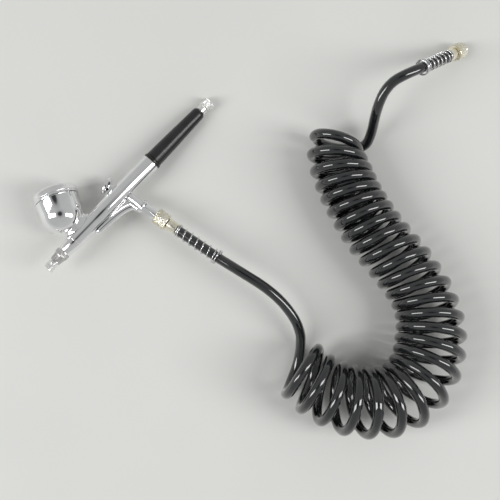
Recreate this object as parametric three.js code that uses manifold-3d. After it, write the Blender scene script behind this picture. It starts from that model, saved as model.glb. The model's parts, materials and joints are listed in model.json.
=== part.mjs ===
// Gravity-feed dual-action airbrush with a metal paint cup and a coiled air hose, in millimetres, +Z up.
// The gun lies on its side: +X runs from the spray tip to the tail, +Y towards the paint cup.
// It rests on the rim of the cup's lid and on the tail knob.
import * as THREE from 'three';
import { mergeVertices } from 'three/addons/utils/BufferGeometryUtils.js';
import Module from 'manifold-3d';

const wasm = await Module();
wasm.setup();

// ---------------------------------------------------------------- driving dimensions

const gap = 0.3; // play between neighbouring pieces
const runningGap = 0.2; // play round a thin sliding shaft
const facets = 20; // sides of a turned piece
const wireDetail = { sides: 5, stepsPerTurn: 8 };
const degree = Math.PI / 180;

const pose = { pitch: 7.7 * degree, roll: 7 * degree };

const crown = { length: 6.1, radius: 3.3, bore: 2.3, slots: 4, slotWidth: 1.2, slotDepth: 2.4 };
const airCap = {
  length: 8.6, frontRadius: 3.4, waistRadius: 4.15, taper: 4.9, flangeRadius: 4.6, flangeLength: 3.3,
  bossRadius: 2, bossLength: 2.2, orifice: 1.1, orificeLength: 2.2, cavity: 2.9,
  flutes: 8, fluteRadius: 0.7, fluteLength: 4.4, fluteReach: 4.43, fluteSides: 6,
};
const head = {
  length: 9.6, frontRadius: 4.15, rearRadius: 5.55, ringRadius: 5.85, ringLength: 0.7,
  bossRadius: 2.6, bossLength: 5, spigotRadius: 3.6, spigotLength: 5.1, seat: 1.5, seatLength: 3.3, bore: 1.1,
};
const nozzle = {
  tip: 0.62, tipBore: 0.42, length: 6.6, coneLength: 2.6, shoulder: 1.7, collar: 1.3, thread: 1.2, bore: 0.9,
};
const needle = { radius: 0.6, tipRadius: 0.05, tipInset: 1.2, taper: 12.8, endShort: 17.5 };
const headSeal = { width: 1, inset: 0.2, inner: 1.5 };

const body = {
  length: 70.2, frontRadius: 5.75, rearRadius: 6.1, swellStart: 18.8, swellEnd: 27.8, fluidBore: 1.5,
  chamberRadius: 4.7, chamberStart: 34.8, sealPocket: 2.6, sealPocketLength: 7.7,
  slotStart: 37, slotEnd: 46.3,
};
const needleSeal = { width: 2.3 };
const packingScrew = { length: 4.6, driverSlot: 0.8, driverDepth: 1 };

const cup = {
  station: 6.4, sunk: 1.3, lean: 26.3 * degree, radius: 13.9, wall: 1.1, floorLift: 1.2, outlet: 2,
  roundSteps: 6, shoulder: 9.9, shoulderFlare: 0.4, neckInset: 0.7, neckLength: 5.2,
  footShift: 1.6, footLength: 10.2, footShoulder: 8.2, footWidth: 4.9, footRise: 2.45,
};
const lid = { overhang: 0.6, thickness: 1.3, edge: 1.6, edgeRound: 0.5, grooveRise: 2.1, grooveDepth: 0.3 };

const valve = {
  station: 42.87, lean: 8 * degree, top: 5.7, columnRadius: 3.25, flangeStart: 15.7, flangeRadius: 4.95,
  flangeLength: 2.4, bodyRadius: 3.9, bodyWaist: 3.2, bodyLength: 8.9, shoulderLength: 3.6,
  threadRadius: 2.6, threadLength: 5.8,
  guideBore: 1, chamber: 2, chamberStart: 12,
};
const plunger = { top: 3.6, radius: 0.75, discRadius: 1.6, discLength: 1.4, length: 23.5 };
const valveSeal = { outer: 1.75, inner: 1, width: 1 };
const valveSpring = { radius: 1.25, wire: 0.22, length: 9.2, turns: 6 };
const guideScrew = { radius: 1.7, length: 3, bore: 0.95 };

const fingerRest = {
  bead: 2.3, beadSides: 10, beadSteps: 18, noseLength: 3.2, noseTurn: 20 * degree, web: 1.4, root: 4,
};
// Centre line of the finger rest's bead: distances before the valve's axis and below the gun's axis.
const beadRoute = [[28.8, 6.3], [27.4, 6.9], [19.7, 7.3], [10.9, 8.2], [4.6, 9.8], [1.6, 11.2], [0.3, 12.6]];

const trigger = {
  lean: 18 * degree, pivotBehind: 0.33, pivotBelow: 2.2, ball: 1.1, thickness: 2.4, width: 4,
  padHeight: 13.9, padRadius: 6, padInner: 4.8, padWidth: 4.7, padThickness: 2, padFlare: 0.8,
  padCone: 1.3, padDish: 0.7,
  stemRadius: 1.95, stemLength: 1.3, needleSlotWidth: 2, needleSlotBottom: 1, needleSlotTop: 6.2,
};
const backLever = { behindTrigger: 3, pivotBelow: 3.6, height: 7.4, thickness: 1, width: 3.8 };
const needleTube = { play: 0.4, flangeRadius: 4.2, flangeLength: 1.2, radius: 2.3, inHandle: 16.8 };
const needleSpring = { radius: 3.15, wire: 0.35, turns: 9 };
const springCase = { inBody: 11.4, inHandle: 7.6, radius: 4.4, cavity: 3.8, rearWall: 3 };
const chuckNut = { inHandle: 11.6, length: 6.6, radius: 3.3, endWall: 1.1 };

const collar = { length: 1.6, radius: 6.15 };
const handle = {
  length: 43.9, frontRadius: 5.65, rearRadius: 3.95, rearRound: 1.2, rearBevel: 0.6, frontBoreLength: 6.2,
  bore: 3.75, boreLength: 30.4, screwBore: 2.6,
};
const adjuster = {
  neckRadius: 2.8, neckLength: 4.4, knobRadius: 4.15, knobLength: 4.7, stemRadius: 1.65, stemLength: 14.4,
};
const adjusterRing = { outer: 2.4, width: 1, inset: 3 };

const hose = { radius: 3, sides: 10, gunSteps: 14, farSteps: 14 };
const hoseNut = {
  start: 27.3, radius: 5, length: 8.9, mouth: 2.95, mouthDepth: 5.7, pocket: 4, pocketDepth: 2, lip: 1.1,
};
const barb = { collar: 3.6, collarLength: 1.5, tail: 1.7 };
const ferrule = { overHose: 0.8, length: 6.4 };
const guard = { overHose: 0.4, wire: 0.35, turns: 7.5, length: 33.2, flare: 1 };
const coil = { radius: 21.5, lift: 0.2, sides: 16, steps: 24 };
const farEnd = { mouth: [286.5, -97.5, 4.2], axis: [-32, 10.5, 31] };

// Route of the gun-side hose lead after the spring guard, ending at the coil.
const gunLeadRoute = [
  [82, -91, 25], [85.5, -109, 24], [86, -124, 21], [83.5, -138, 17], [78, -148, 11.5], [73, -153, 8],
];
// Route of the far hose lead after its spring guard, ending at the coil.
const farLeadRoute = [
  [241.5, -82, 41], [233.5, -79.5, 39.5], [225.5, -80, 36.5], [218, -82.5, 32.5], [210.5, -87, 26.5],
  [204, -91.5, 19.5],
];
// Centre line of the coiled part on the table, from its gun end to its far end.
const coilRoute = [
  [62.5, -162], [63, -175], [66.5, -190], [74, -203.5], [86, -215], [100, -220.5], [115, -219], [130, -211],
  [142, -200], [150, -186], [154.8, -168.5], [157.4, -149], [160.5, -130], [165, -113.5], [171, -99.3],
  [178, -87.5], [184.5, -80.5],
];

// ---------------------------------------------------------------- geometry helpers

const finish = {
  chrome: { color: 0xd8dadb, roughness: 0.12, metalness: 1 },
  dulled: { color: 0x9b9da0, roughness: 0.35, metalness: 1 },
  black: { color: 0x1a1c1e, roughness: 0.4, metalness: 0.3 },
  gold: { color: 0xd9d2b4, roughness: 0.25, metalness: 1 },
  wire: { color: 0xc9cacb, roughness: 0.2, metalness: 1 },
  brass: { color: 0xb59a5a, roughness: 0.3, metalness: 1 },
  seal: { color: 0xe9e9e4, roughness: 0.5, metalness: 0 },
  rubber: { color: 0x17181a, roughness: 0.6, metalness: 0 },
  hose: { color: 0x141618, roughness: 0.18, metalness: 0 },
};

const weldDistance = 1e-4;

// Merges shared corners, drops slivers and turns the faces outwards.
function weld(geometry) {
  const bare = geometry.clone();
  bare.deleteAttribute('normal');
  bare.deleteAttribute('uv');
  const merged = mergeVertices(bare, weldDistance);
  const place = merged.attributes.position;
  const kept = [];
  const corners = [new THREE.Vector3(), new THREE.Vector3(), new THREE.Vector3()];
  let volume = 0;
  for (let i = 0; i < merged.index.count; i += 3) {
    const ids = [merged.index.getX(i), merged.index.getX(i + 1), merged.index.getX(i + 2)];
    if (ids[0] === ids[1] || ids[1] === ids[2] || ids[0] === ids[2]) continue;
    ids.forEach((id, k) => corners[k].fromBufferAttribute(place, id));
    volume += corners[0].dot(corners[1].clone().cross(corners[2]));
    kept.push(ids);
  }
  const order = volume < 0 ? [0, 2, 1] : [0, 1, 2];
  merged.setIndex(kept.flatMap((ids) => order.map((k) => ids[k])));
  return merged;
}

function toSolid(geometry) {
  const welded = weld(geometry);
  return new wasm.Manifold(new wasm.Mesh({
    numProp: 3,
    vertProperties: new Float32Array(welded.attributes.position.array),
    triVerts: new Uint32Array(welded.index.array),
  }));
}

function toGeometry(solid) {
  const mesh = solid.getMesh();
  const geometry = new THREE.BufferGeometry();
  geometry.setAttribute('position', new THREE.BufferAttribute(new Float32Array(mesh.vertProperties), 3));
  geometry.setIndex(new THREE.BufferAttribute(new Uint32Array(mesh.triVerts), 1));
  geometry.computeVertexNormals();
  return geometry;
}

// A solid turned about +Y from [radius, height] points; an outline off the axis is closed on itself.
function turned(outline, sides = facets) {
  const points = outline.map(([radius, height]) => new THREE.Vector2(radius, height));
  const onAxis = outline[0][0] === 0 && outline.at(-1)[0] === 0;
  if (!onAxis) points.push(points[0].clone());
  return weld(new THREE.LatheGeometry(points, sides));
}

// The same, with the axis laid along +X.
function turnedAlong(outline, sides = facets) {
  return turned(outline, sides).rotateZ(-Math.PI / 2);
}

function box(low, high) {
  const size = high.map((value, i) => value - low[i]);
  const middle = high.map((value, i) => (value + low[i]) / 2);
  return new THREE.BoxGeometry(...size).translate(...middle);
}

function cut(geometry, ...tools) {
  return toGeometry(tools.reduce((left, tool) => left.subtract(toSolid(tool)), toSolid(geometry)));
}

function join(geometry, ...others) {
  return toGeometry(others.reduce((left, other) => left.add(toSolid(other)), toSolid(geometry)));
}

// A round wire or bead swept along a curve.
function swept(curve, radius, sides, steps) {
  const section = new THREE.Shape();
  section.setFromPoints(Array.from({ length: sides }, (_, i) => {
    const angle = (2 * Math.PI * i) / sides;
    return new THREE.Vector2(radius * Math.cos(angle), radius * Math.sin(angle));
  }));
  return weld(new THREE.ExtrudeGeometry(section, { steps, extrudePath: curve, curveSegments: 1 }));
}

const flareTurns = 1.5;

class Helix extends THREE.Curve {
  constructor(radius, start, length, turns, flare = 0) {
    super();
    Object.assign(this, { radius, start, length, turns, flare });
  }

  getPoint(t) {
    const angle = 2 * Math.PI * this.turns * t;
    const flareStart = this.turns - flareTurns;
    const lastTurn = Math.max(0, (t * this.turns - flareStart) / flareTurns);
    const reach = this.radius + this.flare * lastTurn;
    return new THREE.Vector3(reach * Math.cos(angle), this.start + this.length * t, reach * Math.sin(angle));
  }
}

// A wire spring about +Y.
function spring({ radius, wire, length, turns, flare = 0 }, start) {
  const helix = new Helix(radius, start, length, turns, flare);
  return swept(helix, wire, wireDetail.sides, Math.round(turns * wireDetail.stepsPerTurn));
}

function place(group, name, geometry, look) {
  const mesh = new THREE.Mesh(geometry, new THREE.MeshStandardMaterial(look));
  mesh.name = name;
  group.add(mesh);
  return mesh;
}

// ---------------------------------------------------------------- stations along the gun's axis

const airCapStart = crown.length + gap;
const headStart = airCapStart + airCap.length + gap;
const bodyStart = headStart + head.length + gap;
const bodyEnd = bodyStart + body.length;
const collarStart = bodyEnd + gap;
const handleStart = collarStart + collar.length + gap;
const handleEnd = handleStart + handle.length;
const neckStart = handleEnd + gap;
const headSealStart = headStart + head.length + head.spigotLength + gap;
const socketEnd = headSealStart + headSeal.width + gap;
const chamberStart = bodyStart + body.chamberStart;
const sealPocketStart = chamberStart - body.sealPocketLength;
const cupAlong = bodyStart + cup.station;
const cupAbove = body.frontRadius + cup.radius - cup.sunk;
const footAlong = cupAlong + cup.footShift;
const valveAlong = bodyStart + valve.station;
const pivotAlong = valveAlong + trigger.pivotBehind;
const backLeverAlong = pivotAlong + backLever.behindTrigger;
const tubeStart = backLeverAlong + backLever.thickness / 2 + needleTube.play;
const tubeEnd = bodyEnd + needleTube.inHandle;
const caseStart = bodyEnd - springCase.inBody;
const caseEnd = bodyEnd + springCase.inHandle;
const chuckStart = bodyEnd + chuckNut.inHandle;
const needleEnd = handleEnd - needle.endShort;

const frame = new THREE.Group();
const gun = new THREE.Group();
const rolled = new THREE.Group();
frame.add(gun);
gun.add(rolled);
gun.rotation.y = pose.pitch;
rolled.rotation.x = -pose.roll;

// ---------------------------------------------------------------- spray head

function needleCap() {
  const tube = turnedAlong([
    [crown.bore, 0], [crown.bore, crown.length], [crown.radius, crown.length], [crown.radius, 0],
  ]);
  const slots = Array.from({ length: crown.slots / 2 }, (_, i) => box(
    [-gap, -crown.radius - gap, -crown.slotWidth / 2],
    [crown.slotDepth, crown.radius + gap, crown.slotWidth / 2],
  ).rotateX((Math.PI * 2 * i) / crown.slots));
  return cut(tube, ...slots);
}

function airCapShell() {
  const start = airCapStart;
  const end = start + airCap.length;
  const flangeStart = start + airCap.taper;
  const flangeEnd = flangeStart + airCap.flangeLength;
  const bossStart = start - airCap.bossLength;
  const coneStart = bossStart + airCap.orificeLength;
  const coneEnd = coneStart + airCap.cavity - airCap.orifice;
  const shell = turnedAlong([
    [airCap.orifice, bossStart], [airCap.orifice, coneStart],
    [airCap.cavity, coneEnd], [airCap.cavity, end],
    [airCap.waistRadius, end], [airCap.waistRadius, flangeEnd], [airCap.flangeRadius, flangeEnd],
    [airCap.flangeRadius, flangeStart], [airCap.waistRadius, flangeStart], [airCap.frontRadius, start],
    [airCap.bossRadius, start], [airCap.bossRadius, bossStart],
  ]);
  const flutes = Array.from({ length: airCap.flutes }, (_, i) => new THREE.CylinderGeometry(
    airCap.fluteRadius, airCap.fluteRadius, airCap.fluteLength, airCap.fluteSides,
  ).rotateZ(-Math.PI / 2)
    .translate(start + airCap.taper / 2, airCap.fluteReach, 0)
    .rotateX((2 * Math.PI * i) / airCap.flutes));
  return cut(shell, ...flutes);
}

function nozzleHead() {
  const start = headStart;
  const end = start + head.length;
  const bossStart = start - head.bossLength;
  const seatEnd = bossStart + head.seatLength;
  const spigotEnd = end + head.spigotLength;
  return turnedAlong([
    [head.seat, bossStart], [head.seat, seatEnd], [head.bore, seatEnd], [head.bore, spigotEnd],
    [head.spigotRadius, spigotEnd], [head.spigotRadius, end], [head.ringRadius, end],
    [head.ringRadius, end - head.ringLength], [head.rearRadius, end - head.ringLength],
    [head.frontRadius, start], [head.bossRadius, start], [head.bossRadius, bossStart],
  ]);
}

function fluidNozzle() {
  const collarEnd = headStart - head.bossLength - gap;
  const start = collarEnd - nozzle.collar - nozzle.coneLength;
  const coneEnd = start + nozzle.coneLength;
  return turnedAlong([
    [nozzle.tipBore, start], [nozzle.bore, coneEnd + nozzle.collar], [nozzle.bore, start + nozzle.length],
    [nozzle.thread, start + nozzle.length], [nozzle.thread, collarEnd], [nozzle.shoulder, collarEnd],
    [nozzle.shoulder, coneEnd], [nozzle.tip, start],
  ]);
}

function needleShaft() {
  const taperEnd = needle.tipInset + needle.taper;
  return turnedAlong([
    [0, needle.tipInset], [needle.tipRadius, needle.tipInset], [needle.radius, taperEnd],
    [needle.radius, needleEnd], [0, needleEnd],
  ], facets / 2);
}

function ring(inner, outer, start, width) {
  return [[inner, start], [inner, start + width], [outer, start + width], [outer, start]];
}

place(rolled, 'needle_cap', needleCap(), finish.chrome);
place(rolled, 'air_cap', airCapShell(), finish.dulled);
place(rolled, 'fluid_nozzle', fluidNozzle(), finish.brass);
place(rolled, 'nozzle_head', nozzleHead(), finish.chrome);
place(rolled, 'head_seal', turnedAlong(ring(
  headSeal.inner, head.spigotRadius - headSeal.inset, headSealStart, headSeal.width,
)), finish.seal);

// ---------------------------------------------------------------- main body, cup and lid

// The valve's axis starts on the gun's axis and runs away from the cup, leaning towards the tail.
const valveFrame = new THREE.Group();
valveFrame.position.x = valveAlong;
valveFrame.rotation.z = valve.lean - Math.PI;
rolled.add(valveFrame);
valveFrame.updateMatrix();

function alongValve(geometry) {
  return geometry.applyMatrix4(valveFrame.matrix);
}

function mainBody() {
  const socketRadius = head.spigotRadius + gap;
  const tube = turnedAlong([
    [socketRadius, bodyStart], [socketRadius, socketEnd], [body.fluidBore, socketEnd],
    [body.fluidBore, sealPocketStart], [body.sealPocket, sealPocketStart], [body.sealPocket, chamberStart],
    [body.chamberRadius, chamberStart], [body.chamberRadius, bodyEnd], [body.rearRadius, bodyEnd],
    [body.rearRadius, bodyStart + body.swellEnd], [body.frontRadius, bodyStart + body.swellStart],
    [body.frontRadius, bodyStart],
  ]);
  const slot = box(
    [bodyStart + body.slotStart, 0, -trigger.width / 2 - gap],
    [bodyStart + body.slotEnd, body.rearRadius + 1, trigger.width / 2 + gap],
  );
  const inletRadius = valve.columnRadius + gap;
  const inlet = alongValve(turned([
    [0, 0], [inletRadius, 0], [inletRadius, body.rearRadius + 2], [0, body.rearRadius + 2],
  ]));
  const outlet = turned([
    [0, 0], [cup.outlet, 0], [cup.outlet, body.rearRadius + 1], [0, body.rearRadius + 1],
  ], facets / 2).translate(footAlong, 0, 0);
  return cut(tube, slot, inlet, outlet);
}

const neckRadius = cup.radius - cup.neckInset;
const rimHeight = cup.shoulder + cup.neckLength;

const cupFrame = new THREE.Group();
cupFrame.position.set(cupAlong, cupAbove, 0);
cupFrame.rotation.z = -cup.lean;
rolled.add(cupFrame);
cupFrame.updateMatrix();

// Points of a bowl's quarter round, from its bottom on the axis up to its widest.
function quarterRound(radius, centre) {
  return Array.from({ length: cup.roundSteps + 1 }, (_, i) => {
    const angle = (Math.PI / 2) * (i / cup.roundSteps);
    return [i === 0 ? 0 : radius * Math.sin(angle), centre - radius * Math.cos(angle)];
  });
}

// The room the body takes, from the spray head to the handle.
function bodyClearance(radius) {
  return turnedAlong([[0, headStart], [radius, headStart], [radius, bodyEnd], [0, bodyEnd]]);
}

function paintCup() {
  const inner = cup.radius - cup.wall;
  const neckInner = neckRadius - cup.wall;
  const footTop = body.frontRadius + cup.footRise;
  const outside = turned([
    ...quarterRound(cup.radius, 0), [cup.radius + cup.shoulderFlare, cup.shoulder],
    [neckRadius, cup.shoulder], [neckRadius, rimHeight], [0, rimHeight],
  ]).applyMatrix4(cupFrame.matrix);
  const inside = turned([
    ...quarterRound(inner, cup.floorLift), [inner, cup.shoulder - cup.wall],
    [neckInner, cup.shoulder], [neckInner, rimHeight + 1], [0, rimHeight + 1],
  ]).applyMatrix4(cupFrame.matrix);
  const foot = turned([
    [0, 0], [cup.footLength, 0], [cup.footLength, body.frontRadius], [cup.footShoulder, footTop],
    [0, footTop + cup.wall],
  ]).scale(1, 1, cup.footWidth / cup.footLength).translate(footAlong, 0, 0);
  const outlet = turned([
    [0, 0], [cup.outlet, 0], [cup.outlet, cupAbove], [0, cupAbove],
  ], facets / 2).translate(footAlong, 0, 0);
  return cut(join(outside, foot), inside, bodyClearance(body.frontRadius + gap), outlet);
}

function cupLid() {
  const skirtInner = neckRadius + gap;
  const skirtStart = cup.shoulder + gap;
  const plate = rimHeight + gap;
  const top = plate + lid.thickness;
  const outer = cup.radius + lid.overhang;
  const groove = skirtStart + lid.grooveRise;
  return turned([
    [0, plate], [skirtInner, plate], [skirtInner, skirtStart], [outer, skirtStart],
    [outer, groove - lid.grooveDepth], [outer - lid.grooveDepth, groove], [outer, groove + lid.grooveDepth],
    [outer, top - lid.edge], [outer - lid.edgeRound, top - lid.edgeRound], [outer - lid.edge, top], [0, top],
  ]);
}

place(rolled, 'main_body', mainBody(), finish.chrome);
place(rolled, 'paint_cup', paintCup(), finish.chrome);
place(cupFrame, 'cup_lid', cupLid(), finish.chrome);

// ---------------------------------------------------------------- finger rest under the body

function fingerRestSolid() {
  const bead = new THREE.CatmullRomCurve3(
    beadRoute.map(([before, below]) => new THREE.Vector3(valveAlong - before, -below, 0)),
  );
  const start = bead.getPoint(0);
  const end = bead.getPoint(1);
  const rail = swept(bead, fingerRest.bead, fingerRest.beadSides, fingerRest.beadSteps);
  const nose = new THREE.ConeGeometry(fingerRest.bead, fingerRest.noseLength, fingerRest.beadSides)
    .rotateZ(Math.PI / 2 + fingerRest.noseTurn).translate(start.x - gap, start.y, 0);
  const outline = new THREE.Shape();
  outline.setFromPoints([
    ...bead.getSpacedPoints(fingerRest.beadSteps).map((point) => new THREE.Vector2(point.x, point.y)),
    new THREE.Vector2(valveAlong, end.y), new THREE.Vector2(valveAlong, -fingerRest.root),
    new THREE.Vector2(start.x, -fingerRest.root),
  ]);
  const web = new THREE.ExtrudeGeometry(outline, { depth: fingerRest.web, bevelEnabled: false })
    .translate(0, 0, -fingerRest.web / 2);
  const clearColumn = valve.columnRadius + gap;
  const column = alongValve(turned([
    [0, 0], [clearColumn, 0], [clearColumn, valve.flangeStart], [0, valve.flangeStart],
  ]));
  return cut(join(rail, web, nose), bodyClearance(body.rearRadius + gap), column);
}

place(rolled, 'finger_rest', fingerRestSolid(), finish.chrome);

// ---------------------------------------------------------------- air valve

function valveCasing() {
  const flangeEnd = valve.flangeStart + valve.flangeLength;
  const bodyEndAlong = flangeEnd + valve.bodyLength;
  const end = bodyEndAlong + valve.threadLength;
  const shoulderEnd = flangeEnd + valve.shoulderLength;
  return turned([
    [valve.guideBore, valve.top], [valve.guideBore, valve.chamberStart], [valve.chamber, valve.chamberStart],
    [valve.chamber, end], [valve.threadRadius, end], [valve.threadRadius, bodyEndAlong],
    [valve.bodyWaist, bodyEndAlong], [valve.bodyRadius, shoulderEnd],
    [valve.bodyRadius, flangeEnd], [valve.flangeRadius, flangeEnd], [valve.flangeRadius, valve.flangeStart],
    [valve.columnRadius, valve.flangeStart], [valve.columnRadius, valve.top],
  ]);
}

const sealStart = valve.chamberStart + gap;
const discStart = sealStart + valveSeal.width + gap;
const springStart = discStart + plunger.discLength + gap + valveSpring.wire;
const guideStart = springStart + valveSpring.length + valveSpring.wire + gap;

function valvePlunger() {
  const discEnd = discStart + plunger.discLength;
  const end = plunger.top + plunger.length;
  return turned([
    [0, plunger.top], [plunger.radius, plunger.top], [plunger.radius, discStart],
    [plunger.discRadius, discStart], [plunger.discRadius, discEnd], [plunger.radius, discEnd],
    [plunger.radius, end], [0, end],
  ], facets / 2);
}

place(valveFrame, 'valve_casing', valveCasing(), finish.chrome);
place(valveFrame, 'valve_plunger', valvePlunger(), finish.brass);
place(valveFrame, 'valve_seal', turned(
  ring(valveSeal.inner, valveSeal.outer, sealStart, valveSeal.width), facets / 2,
), finish.rubber);
place(valveFrame, 'valve_spring', spring(valveSpring, springStart), finish.wire);
place(valveFrame, 'valve_guide_screw', turned(
  ring(guideScrew.bore, guideScrew.radius, guideStart, guideScrew.length), facets / 2,
), finish.brass);

// ---------------------------------------------------------------- trigger and needle mechanism

const triggerFrame = new THREE.Group();
triggerFrame.position.set(pivotAlong, -trigger.pivotBelow, 0);
triggerFrame.rotation.z = trigger.lean;
rolled.add(triggerFrame);

function triggerLever() {
  const half = trigger.thickness / 2;
  const halfWidth = trigger.width / 2;
  const padBottom = trigger.padHeight - trigger.padThickness;
  const coneStart = padBottom - trigger.padCone;
  const stemStart = coneStart - trigger.stemLength;
  const blade = box([-half, -trigger.ball / 2, -halfWidth], [half, padBottom, halfWidth]);
  const ball = new THREE.SphereGeometry(trigger.ball, 12, 8);
  const squash = trigger.padWidth / trigger.padRadius;
  const pad = turned([
    [0, coneStart], [trigger.stemRadius, coneStart], [trigger.padInner, padBottom],
    [trigger.padRadius, padBottom + trigger.padFlare], [trigger.padRadius, trigger.padHeight],
    [trigger.padInner, trigger.padHeight], [0, trigger.padHeight - trigger.padDish],
  ]).scale(1, 1, squash);
  const stem = turned([
    [0, stemStart], [trigger.stemRadius, stemStart], [trigger.stemRadius, padBottom], [0, padBottom],
  ]);
  const needleSlot = box(
    [-trigger.thickness, trigger.needleSlotBottom, -trigger.needleSlotWidth / 2],
    [trigger.thickness, trigger.needleSlotTop, trigger.needleSlotWidth / 2],
  );
  return cut(join(blade, ball, stem, pad), needleSlot);
}

function backLeverPlate() {
  const half = backLever.thickness / 2;
  const plate = box(
    [backLeverAlong - half, -backLever.pivotBelow - half, -backLever.width / 2],
    [backLeverAlong + half, backLever.height - backLever.pivotBelow, backLever.width / 2],
  );
  const slot = box(
    [backLeverAlong - backLever.width, -needle.radius - gap, -trigger.needleSlotWidth / 2],
    [backLeverAlong + backLever.width, backLever.height, trigger.needleSlotWidth / 2],
  );
  return cut(plate, slot);
}

function needleTubeSolid() {
  const bore = needle.radius + runningGap;
  const flangeEnd = tubeStart + needleTube.flangeLength;
  return turnedAlong([
    [bore, tubeStart], [bore, tubeEnd], [needleTube.radius, tubeEnd],
    [needleTube.radius, flangeEnd], [needleTube.flangeRadius, flangeEnd],
    [needleTube.flangeRadius, tubeStart],
  ]);
}

function springCaseSolid() {
  const wallStart = caseEnd - springCase.rearWall;
  const tubeBore = needleTube.radius + gap;
  return turnedAlong([
    [springCase.cavity, caseStart], [springCase.cavity, wallStart], [tubeBore, wallStart],
    [tubeBore, caseEnd], [springCase.radius, caseEnd], [springCase.radius, caseStart],
  ]);
}

function chuckNutSolid() {
  const end = chuckStart + chuckNut.length;
  const wallStart = end - chuckNut.endWall;
  return turnedAlong([
    [needleTube.radius + gap, chuckStart], [needleTube.radius + gap, wallStart],
    [needle.radius + runningGap, wallStart], [needle.radius + runningGap, end],
    [chuckNut.radius, end], [chuckNut.radius, chuckStart],
  ]);
}

function needleSpringSolid() {
  const start = tubeStart + needleTube.flangeLength + gap + needleSpring.wire;
  const end = caseEnd - springCase.rearWall - gap - needleSpring.wire;
  return spring({ ...needleSpring, length: end - start }, start).rotateZ(-Math.PI / 2);
}

const sealInner = needle.radius + runningGap;
const sealOuter = body.sealPocket - gap;
const packingStart = sealPocketStart + gap + needleSeal.width + gap;
const packingEnd = packingStart + packingScrew.length;
const packing = turnedAlong(ring(sealInner, sealOuter, packingStart, packingScrew.length));
const driverSlot = box(
  [packingEnd - packingScrew.driverDepth, -body.sealPocket, -packingScrew.driverSlot / 2],
  [packingEnd + gap, body.sealPocket, packingScrew.driverSlot / 2],
);

place(rolled, 'needle', needleShaft(), finish.wire);
place(rolled, 'needle_seal', turnedAlong(
  ring(sealInner, sealOuter, sealPocketStart + gap, needleSeal.width),
), finish.seal);
place(rolled, 'packing_screw', cut(packing, driverSlot), finish.brass);
place(triggerFrame, 'trigger', triggerLever(), finish.chrome);
place(rolled, 'back_lever', backLeverPlate(), finish.wire);
place(rolled, 'needle_tube', needleTubeSolid(), finish.brass);
place(rolled, 'needle_spring', needleSpringSolid(), finish.wire);
place(rolled, 'spring_case', springCaseSolid(), finish.brass);
place(rolled, 'chuck_nut', chuckNutSolid(), finish.brass);

// ---------------------------------------------------------------- handle and tail adjuster

function handleShell() {
  const frontBore = springCase.radius + gap;
  const boreEnd = handleStart + handle.boreLength;
  return turnedAlong([
    [frontBore, handleStart], [frontBore, handleStart + handle.frontBoreLength],
    [handle.bore, handleStart + handle.frontBoreLength], [handle.bore, boreEnd], [handle.screwBore, boreEnd],
    [handle.screwBore, handleEnd], [handle.rearRadius - handle.rearBevel, handleEnd],
    [handle.rearRadius, handleEnd - handle.rearRound], [handle.frontRadius, handleStart],
  ]);
}

function adjusterKnob() {
  const neckEnd = neckStart + adjuster.neckLength;
  const knobEnd = neckEnd + adjuster.knobLength;
  return turnedAlong([
    [0, neckStart - adjuster.stemLength], [adjuster.stemRadius, neckStart - adjuster.stemLength],
    [adjuster.stemRadius, neckStart], [adjuster.neckRadius, neckStart], [adjuster.neckRadius, neckEnd],
    [adjuster.knobRadius, neckEnd], [adjuster.knobRadius, knobEnd], [0, knobEnd],
  ]);
}

place(rolled, 'handle_collar', turnedAlong(
  ring(springCase.radius + gap, collar.radius, collarStart, collar.length),
), finish.black);
place(rolled, 'handle', handleShell(), finish.black);
place(rolled, 'adjuster_knob', adjusterKnob(), finish.chrome);
const adjusterRingStart = handleEnd - adjusterRing.inset;
place(rolled, 'adjuster_ring', turnedAlong(
  ring(adjuster.stemRadius + runningGap, adjusterRing.outer, adjusterRingStart, adjusterRing.width),
), finish.rubber);

// ---------------------------------------------------------------- resting place

// The gun lies on its lid rim and tail knob; its footprint's centre is the origin.
const footprint = new THREE.Box3().setFromObject(gun, true);
const centre = footprint.getCenter(new THREE.Vector3());
gun.position.z = -footprint.min.z;
frame.position.set(-centre.x, -centre.y, 0);

// ---------------------------------------------------------------- hose fittings

const nutWallStart = hoseNut.mouthDepth + hoseNut.pocketDepth;
const barbStart = hoseNut.mouthDepth + gap;
const ferruleStart = hoseNut.length + gap;
const hoseStart = ferruleStart + ferrule.length + gap;
const guardStart = hoseStart + guard.wire;
const guardEnd = guardStart + guard.length + guard.wire;

// One end fitting about +Y, from the nut's mouth at 0 to the open end of the spring guard.
function hoseEnd(group, suffix) {
  const collarEnd = barbStart + barb.collarLength;
  const collarWindow = hoseNut.pocket - hoseNut.lip;
  place(group, `hose_nut_${suffix}`, turned([
    [hoseNut.mouth, 0], [hoseNut.mouth, hoseNut.mouthDepth], [hoseNut.pocket, hoseNut.mouthDepth],
    [hoseNut.pocket, nutWallStart], [collarWindow, nutWallStart], [collarWindow, hoseNut.length],
    [hoseNut.radius, hoseNut.length], [hoseNut.radius, 0],
  ]), finish.gold);
  place(group, `hose_barb_${suffix}`, turned([
    [0, barbStart], [barb.collar, barbStart], [barb.collar, collarEnd], [barb.tail, collarEnd],
    [barb.tail, hoseStart - gap], [0, hoseStart - gap],
  ]), finish.brass);
  place(group, `hose_ferrule_${suffix}`, turned(
    ring(barb.tail + gap, hose.radius + ferrule.overHose, ferruleStart, ferrule.length),
  ), finish.gold);
  const guardRadius = hose.radius + guard.overHose + guard.wire;
  place(group, `spring_guard_${suffix}`, spring({ ...guard, radius: guardRadius }, guardStart), finish.wire);
}

const gunFitting = new THREE.Group();
gunFitting.position.y = hoseNut.start;
valveFrame.add(gunFitting);
hoseEnd(gunFitting, 'gun');

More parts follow.
